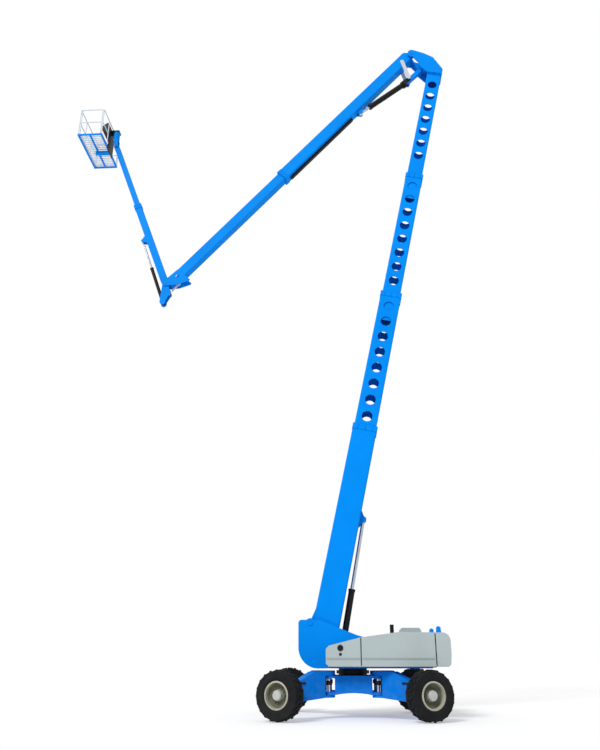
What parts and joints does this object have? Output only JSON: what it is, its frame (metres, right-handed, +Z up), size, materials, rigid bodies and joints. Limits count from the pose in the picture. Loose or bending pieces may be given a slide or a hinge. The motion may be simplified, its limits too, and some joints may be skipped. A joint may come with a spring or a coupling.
{
  "type": "articulating boom lift",
  "caption": "Self-propelled boom lift with a telescoping lower boom, folding upper boom, jib and railed platform on a four-legged wheeled chassis.",
  "frame": {"origin": "on the ground under the middle of the whole machine in the stored pose", "axes": "+Z up, +X towards the counterweight, +Y across the machine; the platform is on the -X side"},
  "size_m": [12.9321, 4.3054, 22.2381],
  "materials": {
    "chassis_blue": "satin deep blue enamel",
    "boom_blue": "gloss blue enamel",
    "black_steel": "satin black paint",
    "rim_paint": "satin beige grey paint",
    "tyre_rubber": "matte rubber",
    "counterweight_grey": "painted grey",
    "cover_grey": "satin grey moulded cover",
    "engine_block": "matt dark",
    "rod_chrome": "polished",
    "link_grey": "satin light grey",
    "rail_paint": "satin pale grey paint",
    "console_plastic": "matt black"
  },
  "bodies": {
    "chassis": {"chassis": "chassis_blue", "slew_ring": "black_steel"},
    "leg_near_left": {"leg_near_left": "chassis_blue"},
    "knuckle_near_left": {"knuckle_near_left": "black_steel"},
    "wheel_near_left": {"rim_near_left": "rim_paint", "tyre_near_left": "tyre_rubber"},
    "leg_near_right": {"leg_near_right": "chassis_blue"},
    "knuckle_near_right": {"knuckle_near_right": "black_steel"},
    "wheel_near_right": {"rim_near_right": "rim_paint", "tyre_near_right": "tyre_rubber"},
    "leg_far_left": {"leg_far_left": "chassis_blue"},
    "knuckle_far_left": {"knuckle_far_left": "black_steel"},
    "wheel_far_left": {"rim_far_left": "rim_paint", "tyre_far_left": "tyre_rubber"},
    "leg_far_right": {"leg_far_right": "chassis_blue"},
    "knuckle_far_right": {"knuckle_far_right": "black_steel"},
    "wheel_far_right": {"rim_far_right": "rim_paint", "tyre_far_right": "tyre_rubber"},
    "turntable": {"turntable": "boom_blue", "counterweight": "counterweight_grey", "lifting_lugs": "boom_blue", "engine": "engine_block", "cover_near": "cover_grey", "cover_far": "cover_grey"},
    "hood_near": {"hood_near": "cover_grey"},
    "hood_far": {"hood_far": "cover_grey", "exhaust_stack": "black_steel"},
    "lower_base": {"lower_base": "boom_blue"},
    "lower_second": {"lower_second": "boom_blue"},
    "lower_third": {"lower_third": "boom_blue"},
    "lower_fourth": {"lower_fourth": "boom_blue", "elbow_head": "boom_blue"},
    "lift_barrel": {"lift_barrel": "black_steel"},
    "lift_rod": {"lift_rod": "rod_chrome"},
    "upper_outer": {"upper_outer": "boom_blue", "cable_carrier": "black_steel"},
    "upper_inner": {"upper_inner": "boom_blue", "boom_nose": "boom_blue"},
    "knee_link": {"knee_link": "boom_blue"},
    "knee_bars": {"knee_bars": "link_grey"},
    "upper_rod": {"upper_rod": "rod_chrome"},
    "upper_barrel": {"upper_barrel": "black_steel"},
    "bellcrank": {"bellcrank": "boom_blue"},
    "level_barrel": {"level_barrel": "link_grey"},
    "level_rod": {"level_rod": "rod_chrome"},
    "jib_outer": {"jib_outer": "boom_blue"},
    "jib_inner": {"jib_inner": "boom_blue"},
    "jib_barrel": {"jib_barrel": "black_steel"},
    "jib_rod": {"jib_rod": "rod_chrome"},
    "platform_bracket": {"platform_bracket": "boom_blue"},
    "platform": {"platform_yoke": "black_steel", "platform_base": "boom_blue", "platform_floor": "rail_paint", "rail_front": "rail_paint", "rail_back": "rail_paint", "rail_far": "rail_paint", "console": "console_plastic"},
    "gate": {"gate": "rail_paint"}
  },
  "joints": [
    {"name": "leg_near_left_swing", "type": "hinge", "parent": "chassis", "child": "leg_near_left", "pos_m": [2.06, -0.66, 0.8], "axis": [0, 0, 1], "range_deg": [-37.74, 0]},
    {"name": "steer_near_left", "type": "hinge", "parent": "leg_near_left", "child": "knuckle_near_left", "pos_m": [1.06269, -1.38458, 0.6], "axis": [0, 0, -1], "range_deg": [-62, 11]},
    {"name": "spin_near_left", "type": "hinge", "parent": "knuckle_near_left", "child": "wheel_near_left", "pos_m": [0.9, -1.75, 0.5775], "axis": [-0.4067, -0.9135, 0], "continuous": true},
    {"name": "leg_near_right_swing", "type": "hinge", "parent": "chassis", "child": "leg_near_right", "pos_m": [3.3, -0.66, 0.8], "axis": [0, 0, -1], "range_deg": [-37.74, 0]},
    {"name": "steer_near_right", "type": "hinge", "parent": "leg_near_right", "child": "knuckle_near_right", "pos_m": [4.2973, -1.38458, 0.6], "axis": [0, 0, 1], "range_deg": [-62, 11]},
    {"name": "spin_near_right", "type": "hinge", "parent": "knuckle_near_right", "child": "wheel_near_right", "pos_m": [4.46, -1.75, 0.5775], "axis": [0.4067, -0.9135, 0], "continuous": true},
    {"name": "leg_far_left_swing", "type": "hinge", "parent": "chassis", "child": "leg_far_left", "pos_m": [2.06, 0.66, 0.8], "axis": [0, 0, -1], "range_deg": [-37.74, 0]},
    {"name": "steer_far_left", "type": "hinge", "parent": "leg_far_left", "child": "knuckle_far_left", "pos_m": [1.06269, 1.38458, 0.6], "axis": [0, 0, 1], "range_deg": [-62, 11]},
    {"name": "spin_far_left", "type": "hinge", "parent": "knuckle_far_left", "child": "wheel_far_left", "pos_m": [0.9, 1.75, 0.5775], "axis": [-0.4067, 0.9135, 0], "continuous": true},
    {"name": "leg_far_right_swing", "type": "hinge", "parent": "chassis", "child": "leg_far_right", "pos_m": [3.3, 0.66, 0.8], "axis": [0, 0, 1], "range_deg": [-37.74, 0]},
    {"name": "steer_far_right", "type": "hinge", "parent": "leg_far_right", "child": "knuckle_far_right", "pos_m": [4.2973, 1.38458, 0.6], "axis": [0, 0, -1], "range_deg": [-62, 11]},
    {"name": "spin_far_right", "type": "hinge", "parent": "knuckle_far_right", "child": "wheel_far_right", "pos_m": [4.46, 1.75, 0.5775], "axis": [0.4067, 0.9135, 0], "continuous": true},
    {"name": "slew", "type": "hinge", "parent": "chassis", "child": "turntable", "pos_m": [2.68, 0, 1.15], "axis": [0, 0, 1], "continuous": true},
    {"name": "hood_near_lift", "type": "hinge", "parent": "turntable", "child": "hood_near", "pos_m": [3.78, -0.475, 1.88], "axis": [-1, 0, 0], "range_deg": [0, 65]},
    {"name": "hood_far_lift", "type": "hinge", "parent": "turntable", "child": "hood_far", "pos_m": [3.78, 0.475, 1.88], "axis": [1, 0, 0], "range_deg": [0, 65]},
    {"name": "lower_lift", "type": "hinge", "parent": "turntable", "child": "lower_base", "pos_m": [1.58, 0, 2.26], "axis": [0, -1, 0], "range_deg": [-77.5, 0]},
    {"name": "lower_second_slide", "type": "slide", "parent": "lower_base", "child": "lower_second", "axis": [0.2164, 0, 0.9763], "range_m": [-4.32, 0]},
    {"name": "lower_third_slide", "type": "slide", "parent": "lower_second", "child": "lower_third", "axis": [0.2164, 0, 0.9763], "range_m": [-4.32, 0]},
    {"name": "lower_fourth_slide", "type": "slide", "parent": "lower_third", "child": "lower_fourth", "axis": [0.2164, 0, 0.9763], "range_m": [-4.32, 0]},
    {"name": "lift_barrel_turn", "type": "hinge", "parent": "turntable", "child": "lift_barrel", "pos_m": [2.35, 0, 1.29], "axis": [0, -1, 0], "range_deg": [-77.35, 1]},
    {"name": "lift_rod_slide", "type": "slide", "parent": "lift_barrel", "child": "lift_rod", "axis": [0.1929, 0, 0.9812], "range_m": [-1.5542, 0.005]},
    {"name": "upper_fold", "type": "hinge", "parent": "lower_fourth", "child": "upper_outer", "pos_m": [5.42272, 0, 22.08829], "axis": [0, 1, 0], "range_deg": [-25, 110]},
    {"name": "upper_slide", "type": "slide", "parent": "upper_outer", "child": "upper_inner", "axis": [-0.6626, 0, -0.749], "range_m": [-4.6, 0]},
    {"name": "knee_link_turn", "type": "hinge", "parent": "lower_fourth", "child": "knee_link", "pos_m": [5.7614, 0, 21.53692], "axis": [0, 1, 0], "range_deg": [-17.14, 72.01]},
    {"name": "knee_bars_turn", "type": "hinge", "parent": "upper_outer", "child": "knee_bars", "pos_m": [5.05474, 0, 21.76896], "axis": [0, -1, 0], "range_deg": [-21.07, 89.3]},
    {"name": "upper_rod_turn", "type": "hinge", "parent": "upper_outer", "child": "upper_rod", "pos_m": [3.4831, 0, 19.63185], "axis": [0, -1, 0], "range_deg": [-1.63, 3.76]},
    {"name": "upper_barrel_slide", "type": "slide", "parent": "upper_rod", "child": "upper_barrel", "axis": [0.7898, 0, 0.6133], "range_m": [-0.2595, 1.1246]},
    {"name": "bellcrank_level", "type": "hinge", "parent": "upper_inner", "child": "bellcrank", "pos_m": [-3.12892, 0, 12.79066], "axis": [0, -1, 0], "range_deg": [-25, 20]},
    {"name": "level_barrel_turn", "type": "hinge", "parent": "upper_inner", "child": "level_barrel", "pos_m": [-2.68707, 0, 12.84036], "axis": [0, -1, 0], "range_deg": [-10.05, 8.24]},
    {"name": "level_rod_slide", "type": "slide", "parent": "level_barrel", "child": "level_rod", "axis": [-0.6415, 0, -0.7671], "range_m": [-0.109, 0.1351]},
    {"name": "jib_swing", "type": "hinge", "parent": "bellcrank", "child": "jib_outer", "pos_m": [-3.12892, 0, 12.79066], "axis": [0, 1, 0], "range_deg": [-110, 0]},
    {"name": "jib_slide", "type": "slide", "parent": "jib_outer", "child": "jib_inner", "axis": [-0.3584, 0, 0.9336], "range_m": [-2.44, 0]},
    {"name": "jib_barrel_turn", "type": "hinge", "parent": "bellcrank", "child": "jib_barrel", "pos_m": [-3.17792, 0, 12.13066], "axis": [0, 1, 0], "range_deg": [-102.92, 1]},
    {"name": "jib_rod_slide", "type": "slide", "parent": "jib_barrel", "child": "jib_rod", "axis": [-0.3396, 0, 0.9406], "range_m": [-1.0552, 0.005]},
    {"name": "platform_level", "type": "hinge", "parent": "jib_inner", "child": "platform_bracket", "pos_m": [-5.33288, 0, 18.53218], "axis": [0, -1, 0], "range_deg": [-110, 25]},
    {"name": "platform_rotate", "type": "hinge", "parent": "platform_bracket", "child": "platform", "pos_m": [-5.38288, 0, 18.93], "axis": [0, 0, 1], "range_deg": [-80, 80]},
    {"name": "gate_swing", "type": "hinge", "parent": "platform", "child": "gate", "pos_m": [-6.37088, -0.897, 18.93], "axis": [0, 0, 1], "range_deg": [0, 85]}
  ],
  "couplings": [
    {"joint": "lower_third_slide", "follows": "lower_second_slide", "ratio": 1},
    {"joint": "lower_fourth_slide", "follows": "lower_second_slide", "ratio": 1},
    {"joint": "lift_barrel_turn", "follows": "lower_lift", "ratio": 0.98517},
    {"joint": "lift_rod_slide", "follows": "lower_lift", "m_per_rad": 1.1454},
    {"joint": "knee_link_turn", "follows": "upper_fold", "ratio": 0.64558},
    {"joint": "knee_bars_turn", "follows": "upper_fold", "ratio": 0.80275},
    {"joint": "upper_rod_turn", "follows": "upper_fold", "ratio": 0.025089},
    {"joint": "upper_barrel_slide", "follows": "upper_fold", "m_per_rad": 0.58318},
    {"joint": "level_barrel_turn", "follows": "bellcrank_level", "ratio": 0.36189},
    {"joint": "level_rod_slide", "follows": "bellcrank_level", "m_per_rad": -0.29806},
    {"joint": "jib_barrel_turn", "follows": "jib_swing", "ratio": 0.92654},
    {"joint": "jib_rod_slide", "follows": "jib_swing", "m_per_rad": 0.54702}
  ]
}
